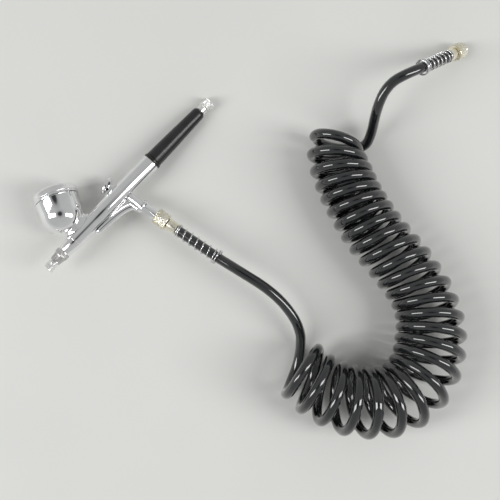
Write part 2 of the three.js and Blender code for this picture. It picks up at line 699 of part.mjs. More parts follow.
const farFitting = new THREE.Group();
const farAxis = new THREE.Vector3(...farEnd.axis).normalize();
farFitting.quaternion.setFromUnitVectors(new THREE.Vector3(0, 1, 0), farAxis);
farFitting.position.set(...farEnd.mouth);
frame.add(farFitting);
hoseEnd(farFitting, 'far');

// ---------------------------------------------------------------- hose

frame.updateMatrixWorld(true);

// Where a fitting holds the hose and where the hose leaves its spring guard, before the shift to the origin.
function hoseExit(fitting) {
  return [hoseStart, (hoseStart + guardEnd) / 2, guardEnd, guardEnd + hose.radius].map((height) => (
    frame.worldToLocal(fitting.localToWorld(new THREE.Vector3(0, height, 0)))
  ));
}

function curveThrough(points) {
  const asVector = (point) => (point.isVector3 ? point : new THREE.Vector3(...point));
  return new THREE.CatmullRomCurve3(points.map(asVector), false, 'centripetal');
}

const gunLead = curveThrough([...hoseExit(gunFitting), ...gunLeadRoute]);
const farLead = curveThrough([...hoseExit(farFitting), ...farLeadRoute]);
const coiled = curveThrough(coilRoute.map(([x, y]) => [x, y, coil.radius + coil.lift]));

place(frame, 'hose_lead_gun', swept(gunLead, hose.radius, hose.sides, hose.gunSteps), finish.hose);
place(frame, 'hose_coil', swept(coiled, coil.radius, coil.sides, coil.steps), finish.hose);
place(frame, 'hose_lead_far', swept(farLead, hose.radius, hose.sides, hose.farSteps), finish.hose);

export default frame;
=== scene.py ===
import json
import math
import bpy
from mathutils import Matrix, Vector


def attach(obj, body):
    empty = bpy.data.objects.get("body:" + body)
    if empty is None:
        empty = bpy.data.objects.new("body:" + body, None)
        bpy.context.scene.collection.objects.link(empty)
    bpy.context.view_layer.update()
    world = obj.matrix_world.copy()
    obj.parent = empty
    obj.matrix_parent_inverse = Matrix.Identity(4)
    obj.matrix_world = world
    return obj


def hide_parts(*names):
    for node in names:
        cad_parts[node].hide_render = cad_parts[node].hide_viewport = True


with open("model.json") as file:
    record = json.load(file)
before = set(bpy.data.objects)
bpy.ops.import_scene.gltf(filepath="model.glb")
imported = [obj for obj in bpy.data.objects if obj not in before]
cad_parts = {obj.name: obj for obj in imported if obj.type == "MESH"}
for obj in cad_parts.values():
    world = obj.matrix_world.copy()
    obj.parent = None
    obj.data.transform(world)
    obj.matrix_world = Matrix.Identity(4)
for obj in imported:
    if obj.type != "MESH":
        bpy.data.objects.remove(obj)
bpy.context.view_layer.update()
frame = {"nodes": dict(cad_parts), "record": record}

mm = 0.001
joints = {joint["name"]: joint for joint in frame["record"]["behaviour"]["joints"]}
nodes = frame["nodes"]


# Places of the gun, cup, valve and far fitting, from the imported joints.
def placeFromAxes(origin, xAxis, yAxis, zAxis):
    place = Matrix((xAxis, yAxis, zAxis)).transposed().to_4x4()
    place.translation = origin
    return place


def lathePlace(origin, axis, across):
    # turned pieces are made about +Z, so +Z goes along the piece's axis
    axis = axis.normalized()
    side = (across - across.dot(axis) * axis).normalized()
    return placeFromAxes(origin, side, axis.cross(side), axis)


# stations along and across the gun from its tip, in mm; the fitting starts down the valve's axis
gunPlan = {
    "pivot": (68.4, -2.2), "cup": (31.6, 18.35), "foot": 33.2, "valve": 68.07, "fittingStart": 27.3,
    "farJointBehindMouth": 4,
}
gunX = Vector(joints["needle_slide"]["axis"]).normalized()
gunZ = -Vector(joints["trigger_pull"]["axis"]).normalized()
gunY = gunZ.cross(gunX)
triggerPivot = Vector(joints["trigger_pull"]["pos_m"])
gunOrigin = triggerPivot - gunPlan["pivot"][0] * mm * gunX - gunPlan["pivot"][1] * mm * gunY
valveAxis = Vector(joints["trigger_press"]["axis"]).normalized()
cupAxis = Vector(joints["lid_lift"]["axis"]).normalized()
farAxis = Vector(joints["far_nut_turn"]["axis"]).normalized()


def gunPoint(x, y, z):
    return gunOrigin + (x * gunX + y * gunY + z * gunZ) * mm


gunPlace = placeFromAxes(gunOrigin, gunX, gunY, gunZ)
barrelPlace = lathePlace(gunOrigin, gunX, gunY)
cupPlace = lathePlace(gunPoint(*gunPlan["cup"], 0), cupAxis, gunX)
valveTop = gunPoint(gunPlan["valve"], 0, 0)
valvePlace = lathePlace(valveTop, valveAxis, gunX)
gunFittingPlace = lathePlace(valveTop + gunPlan["fittingStart"] * mm * valveAxis, valveAxis, gunX)
farMouth = Vector(joints["far_nut_turn"]["pos_m"]) - gunPlan["farJointBehindMouth"] * mm * farAxis
farFittingPlace = lathePlace(farMouth, farAxis, Vector((0, 0, 1)))

# Camera, straight above the table.
cameraPlan = {"x": 96.58, "y": -85.76, "height": 660, "turn": -46.97, "halfWidth": 0.25}
tipShift = Vector((gunOrigin.x, gunOrigin.y, 0))
cameraData = bpy.data.cameras.new("camera")
cameraData.sensor_width = 36
cameraData.lens = 18 / cameraPlan["halfWidth"]
camera = bpy.data.objects.new("camera", cameraData)
camera.location = tipShift + Vector([cameraPlan[key] * mm for key in ("x", "y", "height")])
camera.rotation_euler = (0, 0, math.radians(cameraPlan["turn"]))
bpy.context.scene.collection.objects.link(camera)
bpy.context.scene.camera = camera
print("camera placed")


# ---- helpers for modelling
def deselectAll():
    if bpy.context.object and bpy.context.object.mode != "OBJECT":
        bpy.ops.object.mode_set(mode="OBJECT")
    bpy.ops.object.select_all(action="DESELECT")


def applyModifier(piece, kind, **settings):
    deselectAll()
    piece.select_set(True)
    bpy.context.view_layer.objects.active = piece
    modifier = piece.modifiers.new(kind.lower(), kind)
    for key, value in settings.items():
        setattr(modifier, key, value)
    bpy.ops.object.modifier_apply(modifier=modifier.name)


def smooth(piece, degrees=32):
    deselectAll()
    piece.select_set(True)
    bpy.context.view_layer.objects.active = piece
    bpy.ops.object.shade_smooth_by_angle(angle=math.radians(degrees))


def turned(name, outline, sides=64):
    # a ring is extruded and scaled from point to point of an outline of (radius, height) in mm
    deselectAll()
    radius, height = outline[0]
    bpy.ops.mesh.primitive_circle_add(vertices=sides, radius=radius * mm, location=(0, 0, height * mm))
    piece = bpy.context.object
    piece.name = name
    bpy.ops.object.transform_apply(location=True, rotation=True, scale=True)
    bpy.ops.object.mode_set(mode="EDIT")
    bpy.ops.mesh.select_all(action="SELECT")
    for nextRadius, nextHeight in outline[1:]:
        step = (0, 0, (nextHeight - height) * mm)
        bpy.ops.mesh.extrude_edges_move(TRANSFORM_OT_translate={"value": step})
        scale = nextRadius / radius
        bpy.ops.transform.resize(value=(scale, scale, 1), center_override=(0, 0, nextHeight * mm))
        radius, height = nextRadius, nextHeight
    if outline[0] == outline[-1]:
        bpy.ops.mesh.select_all(action="SELECT")
        bpy.ops.mesh.remove_doubles(threshold=0.001 * mm)
    else:
        bpy.ops.mesh.select_all(action="DESELECT")
        bpy.ops.mesh.select_non_manifold()
        bpy.ops.mesh.edge_face_add()
    bpy.ops.mesh.select_all(action="SELECT")
    bpy.ops.mesh.normals_make_consistent(inside=False)
    bpy.ops.object.mode_set(mode="OBJECT")
    return piece


pinRadius = 0.02  # mm, the smallest ring of a solid piece, on its axis


def solidOutline(points):
    # closes a solid's outline on the axis with a pin-point ring at each end
    return [(pinRadius, points[0][1]), *points, (pinRadius, points[-1][1])]


def closedOutline(points):
    return [*points, points[0]]


def band(radius, low, high, steps):
    # points up a straight wall, close enough together to be cut into a pattern
    return [(radius, low + (high - low) * step / steps) for step in range(steps + 1)]


def slope(start, end, steps):
    # points of an outline from one (radius, height) to another
    (startRadius, low), (endRadius, high) = start, end
    return [
        (startRadius + (endRadius - startRadius) * step / steps, low + (high - low) * step / steps)
        for step in range(steps + 1)
    ]


def subtract(piece, cutter):
    applyModifier(piece, "BOOLEAN", operation="DIFFERENCE", object=cutter, solver="EXACT")
    bpy.data.objects.remove(cutter)


def unite(piece, other):
    applyModifier(piece, "BOOLEAN", operation="UNION", object=other, solver="EXACT")
    bpy.data.objects.remove(other)


def finishPiece(piece, place, material, body, slot, *replaced, degrees=32):
    piece.data.transform(place)
    smooth(piece, degrees)
    piece.data.materials.clear()
    piece.data.materials.append(material)
    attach(piece, body)
    if replaced:
        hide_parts(*replaced)
    return piece


# ---- the hose, one free cord from the gun's ferrule to the far ferrule
# its points are in mm from the spot under the gun's tip
hosePlan = {
    "radius": 3.3, "exit": 16.0, "straight": (0, 9, 18, 27, 34), "pointsPerTurn": 14, "fine": 3,
    "overFloor": 0.1, "sideSegments": 6,
}
# how far each strand leans towards the far end over its crest and back under its underside, by turn
crestLean = [
    (0, 4.2), (4, 3.4), (9, 3.2), (15, 3.6), (19.25, 4.8), (20.25, 5.4), (21.25, 3.7), (22.25, 2.7),
    (23.25, 1.3), (24.25, -0.5), (25.25, -2), (25.5, -1),
]
undersideLean = [(0, 5), (19, 5), (22, 4), (23.75, 0.5), (24.75, -4), (25.5, -2)]
# where each turn of the coil crosses from top to underside, far end first: its inner side, then its outer
# side; each pair is a place on the table, and the coil's loop works out the hose between them
innerEnds = [
    (178.1, -66.1), (168.1, -73.0), (161.4, -81.8), (156.6, -90.7), (152.9, -98.8), (149.6, -107.5),
    (146.6, -116.4), (144.1, -125.2), (141.9, -134.4), (140.7, -143.8), (139.5, -153.7),
    (138.1, -162.2), (136.6, -170.7), (134.5, -178.1), (131.1, -184.1), (126.4, -189.2),
    (120.9, -193.2), (115.4, -197.2), (109.0, -200.2), (102.3, -201.0), (96.2, -198.4), (91.8, -193.2),
    (87.0, -186.9), (82.9, -179.6), (80.9, -170.4), (80.5, -160.6),
]
outerEnds = [
    (190.8, -92.8), (188.2, -99.4), (185.8, -105.6), (183.4, -111.6), (181.1, -117.9), (179.2, -124.6),
    (177.5, -131.8), (175.9, -139.9), (174.7, -149.0), (173.6, -159.0), (172.4, -169.3),
    (170.0, -180.3), (167.1, -191.7), (162.0, -203.0), (156.0, -213.0), (147.9, -222.3),
    (138.0, -230.2), (125.4, -236.9), (107.9, -241.0), (88.9, -239.2), (72.9, -230.9), (61.3, -219.6),
    (52.4, -206.6), (47.1, -192.2), (44.4, -178.3), (45.0, -165.1),
]
gunLead = [
    (82.4, -90.9, 25), (85.7, -109, 24), (86.1, -123.9, 21), (83.6, -137.3, 17), (79.4, -146.1, 12.5),
    (75.3, -150.8, 8.5), (70.6, -154.8, 5.6), (65.5, -158.2, 4.2), (59.6, -161.2, 3.6),
    (53.5, -163.6, 4.5), (48.3, -165.2, 8.8), (45.4, -165.6, 15),
]
farLead = [
    (178.8, -66.9, 12.8), (179.0, -70.4, 7.2), (180.8, -75.8, 4.2), (184.3, -82.0, 3.6),
    (188.9, -87.5, 4.0), (193.6, -91.9, 5.6), (198.6, -93.9, 9), (203.8, -92.1, 13.5),
    (208.0, -89.5, 19), (212.5, -86.0, 26.5), (218.3, -82.5, 33), (225.7, -79.8, 37),
    (233.5, -79.5, 39.5), (241.5, -82, 41),
]


def tableAt(table, share):
    for (a, low), (b, high) in zip(table, table[1:]):
        if share <= b:
            return low + (high - low) * (share - a) / (b - a)
    return table[-1][1]


def smoothAt(points, place):
    # a Catmull-Rom line's point at a place counted in points, carried straight on past the ends
    start = min(max(math.floor(place), 0), len(points) - 2)
    t = place - start
    b, c = points[start], points[start + 1]
    if t < 0 or t > 1:
        return b + (c - b) * t
    a = points[start - 1] if start else 2 * b - c
    d = points[start + 2] if start + 2 < len(points) else 2 * c - b
    square, cube = 2 * a - 5 * b + 4 * c - d, 3 * b - a - 3 * c + d
    return 0.5 * ((2 * b) + (c - a) * t + square * t * t + cube * t ** 3)


def smoothLine(points, perSpan):
    count = (len(points) - 1) * perSpan
    return [smoothAt(points, step / perSpan) for step in range(count + 1)]


def coilPoints():
    inner = [Vector((x, y, 0)) for x, y in innerEnds]
    outer = [Vector((x, y, 0)) for x, y in outerEnds]
    perTurn = hosePlan["pointsPerTurn"]
    points = []
    for step in range(int((len(inner) - 0.5) * perTurn) + 1):
        turn = step / perTurn
        innerEnd, outerEnd = smoothAt(inner, turn), smoothAt(outer, turn - 0.5)
        centre, reach = (innerEnd + outerEnd) / 2, (innerEnd - outerEnd) / 2
        further = (smoothAt(inner, turn + 0.5) + smoothAt(outer, turn)) / 2
        along = (further - centre).normalized()
        rise = math.sin(2 * math.pi * turn)
        height = hosePlan["radius"] + hosePlan["overFloor"] + reach.length * (1 + rise)
        lean = tableAt(crestLean if rise > 0 else undersideLean, turn) * rise
        across = reach * math.cos(2 * math.pi * turn)
        points.append(centre + across - lean * along + Vector((0, 0, height)))
    return points


def hoseRoute():
    def straight(place, axis):
        start = place.translation + hosePlan["exit"] * mm * axis - tipShift
        return [(start + length * mm * axis) / mm for length in hosePlan["straight"]]

    corners = [
        *straight(gunFittingPlace, valveAxis), *[Vector(point) for point in gunLead],
        *reversed(coilPoints()),
        *[Vector(point) for point in farLead], *reversed(straight(farFittingPlace, farAxis)),
    ]
    return [point * mm + tipShift for point in smoothLine(corners, hosePlan["fine"])]


def makeHose():
    route = hoseRoute()
    curve = bpy.data.curves.new("hose", "CURVE")
    curve.dimensions = "3D"
    curve.bevel_depth = hosePlan["radius"] * mm
    curve.bevel_resolution = hosePlan["sideSegments"]
    curve.use_fill_caps = True
    spline = curve.splines.new("POLY")
    spline.points.add(len(route) - 1)
    for point, target in zip(spline.points, route):
        point.co = (*target, 1)
    hose = bpy.data.objects.new("hose", curve)
    bpy.context.scene.collection.objects.link(hose)
    length = sum((b - a).length for a, b in zip(route, route[1:]))
    print("hose length", round(length, 3), "points", len(route))
    return hose, length


hose, hoseLength = makeHose()


# ---- materials
def startMaterial(name, color, metallic, roughness):
    material = bpy.data.materials.new(name)
    material.use_nodes = True
    tree = material.node_tree
    shader = tree.nodes["Principled BSDF"]
    shader.inputs["Base Color"].default_value = (*color, 1)
    shader.inputs["Metallic"].default_value = metallic
    shader.inputs["Roughness"].default_value = roughness
    return material, tree, shader


def addNoise(tree, scale, stretch=(1, 1, 1), detail=3.0):
    place = tree.nodes.new("ShaderNodeTexCoord")
    mapping = tree.nodes.new("ShaderNodeMapping")
    mapping.inputs["Scale"].default_value = stretch
    noise = tree.nodes.new("ShaderNodeTexNoise")
    noise.inputs["Scale"].default_value = scale
    noise.inputs["Detail"].default_value = detail
    tree.links.new(place.outputs["Object"], mapping.inputs["Vector"])
    tree.links.new(mapping.outputs["Vector"], noise.inputs["Vector"])
    return noise.outputs["Fac"]


def addRange(tree, source, low, high, fromLow=0.3, fromHigh=0.7):
    spread = tree.nodes.new("ShaderNodeMapRange")
    spread.inputs["From Min"].default_value = fromLow
    spread.inputs["From Max"].default_value = fromHigh
    spread.inputs["To Min"].default_value = low
    spread.inputs["To Max"].default_value = high
    tree.links.new(source, spread.inputs["Value"])
    return spread.outputs["Result"]


def addColors(tree, source, low, high):
    ramp = tree.nodes.new("ShaderNodeValToRGB")
    ramp.color_ramp.elements[0].position = 0.35
    ramp.color_ramp.elements[1].position = 0.65
    ramp.color_ramp.elements[0].color = (*low, 1)
    ramp.color_ramp.elements[1].color = (*high, 1)
    tree.links.new(source, ramp.inputs["Fac"])
    return ramp.outputs["Color"]


def addBump(tree, shader, source, distance, strength=1.0):
    bump = tree.nodes.new("ShaderNodeBump")
    bump.inputs["Strength"].default_value = strength
    bump.inputs["Distance"].default_value = distance
    tree.links.new(source, bump.inputs["Height"])
    if shader.inputs["Normal"].links:
        tree.links.new(shader.inputs["Normal"].links[0].from_socket, bump.inputs["Normal"])
    tree.links.new(bump.outputs["Normal"], shader.inputs["Normal"])


def metal(name, low, high, roughLow, roughHigh, scratch=0.004, wave=0.0, grain=1500):
    material, tree, shader = startMaterial(name, high, 1.0, roughLow)
    cloud = addNoise(tree, 90)
    tree.links.new(addColors(tree, cloud, low, high), shader.inputs["Base Color"])
    fine = addNoise(tree, grain, detail=5)
    tree.links.new(addRange(tree, fine, roughLow, roughHigh), shader.inputs["Roughness"])
    addBump(tree, shader, fine, scratch * mm)
    if wave:
        addBump(tree, shader, addNoise(tree, 60), wave * mm)
    return material


chrome = metal("chrome", (0.86, 0.865, 0.87), (0.92, 0.925, 0.93), 0.04, 0.09, wave=0.012)
satinChrome = metal("satinChrome", (0.9, 0.9, 0.88), (0.98, 0.98, 0.96), 0.24, 0.36, scratch=0.01)
darkChrome = metal("darkChrome", (0.48, 0.47, 0.46), (0.66, 0.65, 0.64), 0.28, 0.4, scratch=0.01)
paleNickel = metal("paleNickel", (0.78, 0.73, 0.58), (0.95, 0.92, 0.8), 0.2, 0.34, scratch=0.01)
bareBrass = metal("bareBrass", (0.55, 0.4, 0.18), (0.75, 0.58, 0.3), 0.2, 0.34, scratch=0.01)
springSteel = metal("springSteel", (0.62, 0.63, 0.64), (0.8, 0.8, 0.8), 0.1, 0.2, scratch=0.006)


def makeDull(name, color, lighter, roughLow, roughHigh, grain, bump, coat=0.0):
    material, tree, shader = startMaterial(name, color, 0.0, roughLow)
    cloud = addNoise(tree, 70)
    tree.links.new(addColors(tree, cloud, color, lighter), shader.inputs["Base Color"])
    fine = addNoise(tree, grain, detail=4)
    tree.links.new(addRange(tree, fine, roughLow, roughHigh), shader.inputs["Roughness"])
    addBump(tree, shader, fine, bump * mm)
    shader.inputs["Coat Weight"].default_value = coat
    return material


blackAnodised = makeDull(
    "blackAnodised", (0.008, 0.008, 0.009), (0.016, 0.016, 0.018), 0.24, 0.36, 2200, 0.004,
)
blackHose = makeDull(
    "blackHose", (0.004, 0.005, 0.006), (0.009, 0.010, 0.011), 0.04, 0.08, 400, 0.001, coat=1.0,
)
for key, value in {"IOR": 1.5, "Coat IOR": 1.5, "Coat Roughness": 0.05}.items():
    blackHose.node_tree.nodes["Principled BSDF"].inputs[key].default_value = value
rubber = makeDull("rubber", (0.012, 0.012, 0.013), (0.022, 0.022, 0.023), 0.5, 0.65, 2500, 0.02)
sealPlastic = makeDull("sealPlastic", (0.75, 0.75, 0.72), (0.85, 0.85, 0.82), 0.4, 0.5, 1200, 0.01)
print("materials made")

# ---- the hose takes its material, goes with the gun and stands in for the imported hose parts
hose.data.materials.append(blackHose)
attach(hose, "gun")
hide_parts("hose_lead_gun", "hose_coil", "hose_lead_far")


# ---- surface patterns cut into turned pieces
def shapeBand(piece, low, high, pull):
    # moves each point between two heights in by pull(angle, height, radius) mm
    slack = 1e-4
    for vertex in piece.data.vertices:
        x, y, z = vertex.co / mm
        radius = math.hypot(x, y)
        if low - slack < z < high + slack and radius > pinRadius / 2:
            inward = pull(math.atan2(y, x), z, radius)
            vertex.co.x *= (radius - inward) / radius
            vertex.co.y *= (radius - inward) / radius


def flutes(count, depth, skin):
    def pull(angle, height, radius):
        return depth * (0.5 - 0.5 * math.cos(count * angle)) if radius > skin else 0
    return pull


def diamonds(count, pitch, depth, skin):
    steepness = 1.6  # of a diamond's sides

    def tooth(value):
        return abs(2 * (value - math.floor(value)) - 1)

    def pull(angle, height, radius):
        turn = count * angle / (2 * math.pi)
        ridge = min(tooth(turn + height / pitch), tooth(turn - height / pitch))
        return depth * (1 - min(1, steepness * ridge)) if radius > skin else 0
    return pull


# ---- spray head
needleCapPlan = {
    "outline": [
        (2.3, 0.15), (2.5, 0), (3.1, 0), *band(3.3, 0.2, 3.9, 8), (3.05, 4.1), (3.05, 4.5), (3.35, 4.65),
        (3.35, 5.9), (3.2, 6.1), (2.2, 6.1),
    ],
    "sides": 96, "fluted": (0.3, 3.8), "flutes": 16, "fluteDepth": 0.16, "skin": 3.15,
}
needleCap = turned("needleCap", closedOutline(needleCapPlan["outline"]), sides=needleCapPlan["sides"])
shapeBand(needleCap, *needleCapPlan["fluted"],
          flutes(needleCapPlan["flutes"], needleCapPlan["fluteDepth"], needleCapPlan["skin"]))
finishPiece(needleCap, barrelPlace, satinChrome, "gun", "chrome", "needle_cap")

airCapPlan = {
    "outline": [
        (1.1, 4.2), (1.9, 4.2), (1.95, 4.4), (1.95, 6.3), (3.3, 6.35), *slope((3.45, 6.5), (4.2, 11.5), 8),
        (4.35, 11.55), (4.55, 11.75), *band(4.55, 11.95, 14.4, 6), (4.5, 14.6), (4.2, 14.8), (4.15, 15.05),
        (2.9, 15.05), (2.9, 8.2), (1.1, 6.4),
    ],
    "sides": 144,
    "cone": {"fluted": (6.7, 11.3), "flutes": 10, "depth": 0.3, "skin": 3.4},
    "flange": {"fluted": (12.0, 14.35), "flutes": 30, "depth": 0.16, "skin": 4.4},
}
airCap = turned("airCap", closedOutline(airCapPlan["outline"]), sides=airCapPlan["sides"])
for part in (airCapPlan["cone"], airCapPlan["flange"]):
    shapeBand(airCap, *part["fluted"], flutes(part["flutes"], part["depth"], part["skin"]))
finishPiece(airCap, barrelPlace, darkChrome, "gun", "dark_chrome", "air_cap")

nozzleHeadPlan = {
    "outline": [
        (1.5, 10.4), (2.5, 10.4), (2.6, 10.6), (2.6, 15.3), (3.95, 15.3), (4.12, 15.5), (5.5, 24.0),
        (5.5, 24.15), (5.75, 24.25), (5.8, 24.4), (5.8, 24.75), (5.7, 24.88), (3.6, 24.9), (3.6, 29.9),
        (1.1, 29.9), (1.1, 13.6), (1.5, 13.6),
    ],
    "sides": 96,
}
nozzleHead = turned("nozzleHead", closedOutline(nozzleHeadPlan["outline"]), sides=nozzleHeadPlan["sides"])
finishPiece(nozzleHead, barrelPlace, chrome, "gun", "chrome", "nozzle_head")

# ---- barrel, with a slot for the trigger and a bore for the air valve
bodyPlan = {
    "frontRadius": 5.72, "swell": 0.38, "swellFrom": 42, "swellLength": 12, "swellSteps": 10, "sides": 96,
    "slotLow": (0.2, -2.3, 62.2), "slotHigh": (8, 2.3, 71.5), "slotRound": 1.2, "valveBore": 2.6,
    "valveBoreFrom": 3, "valveBoreTo": 7,
}


def swellLine():
    points = []
    for step in range(bodyPlan["swellSteps"] + 1):
        share = step / bodyPlan["swellSteps"]
        eased = 0.5 - 0.5 * math.cos(math.pi * share)
        radius = bodyPlan["frontRadius"] + bodyPlan["swell"] * eased
        points.append((radius, bodyPlan["swellFrom"] + bodyPlan["swellLength"] * share))
    return points


mainBody = turned("mainBody", closedOutline([
    (3.9, 25.3), (5.55, 25.2), (5.7, 25.35), *swellLine(), (6.1, 94.9), (6.0, 95.3), (5.85, 95.4),
    (4.7, 95.4), (4.7, 60.2), (2.6, 60.2), (2.6, 52.5), (1.5, 52.5), (1.5, 31.2), (3.9, 31.2),
]), sides=bodyPlan["sides"])


def softBox(name, low, high, round):
    deselectAll()
    bpy.ops.mesh.primitive_cube_add(size=1)
    piece = bpy.context.object
    piece.name = name
    piece.scale = [(b - a) * mm for a, b in zip(low, high)]
    piece.location = [(b + a) / 2 * mm for a, b in zip(low, high)]
    bpy.ops.object.transform_apply(location=True, rotation=True, scale=True)
    if round:
        applyModifier(piece, "BEVEL", width=round * mm, segments=4, limit_method="NONE")
    return piece


# the barrel is made about +Z, with +X towards the cup
subtract(mainBody, softBox("bodySlot", bodyPlan["slotLow"], bodyPlan["slotHigh"], bodyPlan["slotRound"]))
valveBore = turned("valveBore", solidOutline([
    (bodyPlan["valveBore"], bodyPlan["valveBoreFrom"]), (bodyPlan["valveBore"], bodyPlan["valveBoreTo"]),
]))
valveBore.data.transform(barrelPlace.inverted() @ valvePlace)
subtract(mainBody, valveBore)
finishPiece(mainBody, barrelPlace, chrome, "gun", "chrome", "main_body")

# ---- cup, one piece with its foot
cupPlan = {
    "radius": 13.9, "innerRadius": 12.8, "innerLift": 1.2, "bottomSteps": 20, "sides": 96,
    "footWidth": 0.52,  # share of the foot's length
    "footOutline": [
        (10.6, 0), (10.6, 5.6), (10.45, 5.9), (9.6, 6.1), (9.0, 6.5), (8.7, 7.1), (8.6, 8.0), (8.4, 9.4),
        (2.2, 9.4),
    ],
    "bodyCut": (5.78, 10, 60),  # radius, from and to along the barrel
    "bowlCutTo": (12.8, 9),
}


def roundBottom(radius, lift):
    # the outline of a half-round bottom, from its lowest point out to its widest
    steps = cupPlan["bottomSteps"]
    angles = [math.radians(-90 + 90 * step / steps) for step in range(steps + 1)]
    return [(max(pinRadius, radius * math.cos(a)), lift + radius * math.sin(a)) for a in angles]


cupInside = roundBottom(cupPlan["innerRadius"], cupPlan["innerLift"])
paintCup = turned("paintCup", [
    *roundBottom(cupPlan["radius"], 0), (14.2, 9.5), (14.3, 9.7), (14.15, 9.9), (13.25, 9.95), (13.2, 14.9),
    (13.0, 15.1), (12.2, 15.1), (12.1, 14.9), (12.1, 9.9), (12.8, 8.8), *reversed(cupInside),
], sides=cupPlan["sides"])
footPlace = lathePlace(gunPoint(gunPlan["foot"], 0, 0), gunY, gunX)
foot = turned("cupFoot", solidOutline(cupPlan["footOutline"]), sides=cupPlan["sides"])
foot.data.transform(Matrix.Diagonal((1, cupPlan["footWidth"], 1, 1)))
foot.data.transform(cupPlace.inverted() @ footPlace)
cutRadius, cutFrom, cutTo = cupPlan["bodyCut"]
cutOutline = solidOutline([(cutRadius, cutFrom), (cutRadius, cutTo)])
bodyCut = turned("bodyCut", cutOutline, sides=cupPlan["sides"])
bodyCut.data.transform(cupPlace.inverted() @ barrelPlace)
bowlCut = turned("bowlCut", solidOutline([*cupInside, cupPlan["bowlCutTo"]]), sides=cupPlan["sides"])
unite(paintCup, foot)
subtract(paintCup, bodyCut)
subtract(paintCup, bowlCut)
finishPiece(paintCup, cupPlace, chrome, "gun", "chrome", "paint_cup", degrees=26)

lidPlan = {
    "outline": [
        (13.5, 15.4), (13.5, 10.2), (14.3, 10.2), (14.5, 10.35), (14.55, 10.6), (14.5, 10.85),
        (14.25, 11.1), (14.22, 11.6), (14.45, 11.8), (14.5, 12.0), (14.45, 12.2), (14.3, 12.4),
        (14.3, 14.4), (14.22, 15.1), (13.95, 15.7), (13.5, 16.2), (12.9, 16.55), (12.3, 16.7),
        (11.4, 16.7), (11.2, 16.55), (10.9, 16.5),
    ],
    "sides": 96,
}
cupLid = turned("cupLid", solidOutline(lidPlan["outline"]), sides=lidPlan["sides"])
finishPiece(cupLid, cupPlace, chrome, "cup_lid", "chrome", "cup_lid", degrees=40)
print("spray head, barrel and cup made")

# ---- handle and tail
handlePlan = {
    "collar": [(4.7, 95.7), (5.95, 95.7), (6.15, 95.9), (6.15, 97.1), (5.95, 97.3), (4.7, 97.3)],
    "outline": [
        (4.7, 97.6), (5.35, 97.6), (5.62, 97.9), (5.5, 104), (5.1, 117), (4.65, 130), (4.3, 139.5),
        (4.15, 140.4), (3.8, 141.1), (3.3, 141.5), (2.6, 141.5), (2.6, 128), (3.75, 128), (3.75, 103.8),
        (4.7, 103.8),
    ],
    "sides": 80,
}
handleCollar = turned("handleCollar", closedOutline(handlePlan["collar"]), sides=handlePlan["sides"])
finishPiece(handleCollar, barrelPlace, blackAnodised, "gun", "black_handle", "handle_collar")
handlePiece = turned("handle", closedOutline(handlePlan["outline"]), sides=handlePlan["sides"])
finishPiece(handlePiece, barrelPlace, blackAnodised, "gun", "black_handle", "handle")
knobPlan = {
    "outline": [
        (1.65, 127.4), (1.65, 141.8), (2.9, 141.8), (3.2, 142.0), (3.2, 145.0), (3.6, 145.3), (4.0, 145.4),
        *band(4.3, 145.7, 150.5, 16), (3.95, 150.75), (3.6, 150.9),
    ],
    "sides": 120, "knurled": (145.75, 150.45), "diamonds": 20, "pitch": 1.25, "depth": 0.32, "skin": 4.2,
}
knob = turned("adjusterKnob", solidOutline(knobPlan["outline"]), sides=knobPlan["sides"])
shapeBand(knob, *knobPlan["knurled"],
          diamonds(knobPlan["diamonds"], knobPlan["pitch"], knobPlan["depth"], knobPlan["skin"]))
finishPiece(knob, barrelPlace, satinChrome, "adjuster_knob", "chrome", "adjuster_knob")
print("handle made")

# ---- air valve, with six flats under its flange
valvePlan = {
    "outline": [
        (1.0, 5.7), (3.0, 5.7), (2.95, 6.4), (3.25, 14.6), (3.45, 15.3), (4.3, 15.5), (4.8, 15.75),
        (4.95, 16.2), (4.85, 16.7), (4.6, 16.95), (4.85, 17.2), (4.9, 17.6), (4.7, 18.0), (3.9, 18.1),
        (3.85, 18.4), (3.85, 21.5), (3.25, 25.5), (3.2, 26.9), (2.6, 27.0), (2.6, 32.8), (2.0, 32.8),
        (2.0, 12), (1.0, 12),
    ],
    "sides": 96, "flats": 6, "flatted": (18.3, 25.6), "flatRadius": 3.35, "skin": 2.9,
}
valveCasing = turned("valveCasing", closedOutline(valvePlan["outline"]), sides=valvePlan["sides"])


def flats(count, across, skin):
    def pull(angle, height, radius):
        sector = 2 * math.pi / count
        offset = (angle + sector / 2) % sector - sector / 2
        return max(0.0, radius - across / math.cos(offset)) if radius > skin else 0
    return pull


shapeBand(valveCasing, *valvePlan["flatted"],
          flats(valvePlan["flats"], valvePlan["flatRadius"], valvePlan["skin"]))
finishPiece(valveCasing, valvePlace, chrome, "gun", "chrome", "valve_casing")
print("valve made")


# ---- swept wires and beads, made as a round curve and turned into a mesh
def curveToMesh(name, curve):
    piece = bpy.data.objects.new(name, curve)
    bpy.context.scene.collection.objects.link(piece)
    piece.select_set(True)
    bpy.context.view_layer.objects.active = piece
    bpy.ops.object.convert(target="MESH")
    return bpy.context.object


def swept(name, points, radius, radii=None, resolution=4):
    deselectAll()
    curve = bpy.data.curves.new(name, "CURVE")
    curve.dimensions = "3D"
    curve.bevel_depth = radius * mm
    curve.bevel_resolution = resolution
    curve.use_fill_caps = True
    spline = curve.splines.new("POLY")
    spline.points.add(len(points) - 1)
    for index, (point, target) in enumerate(zip(spline.points, points)):
        point.co = (*(Vector(target) * mm), 1)
        point.radius = radii[index] if radii else 1
    return curveToMesh(name, curve)


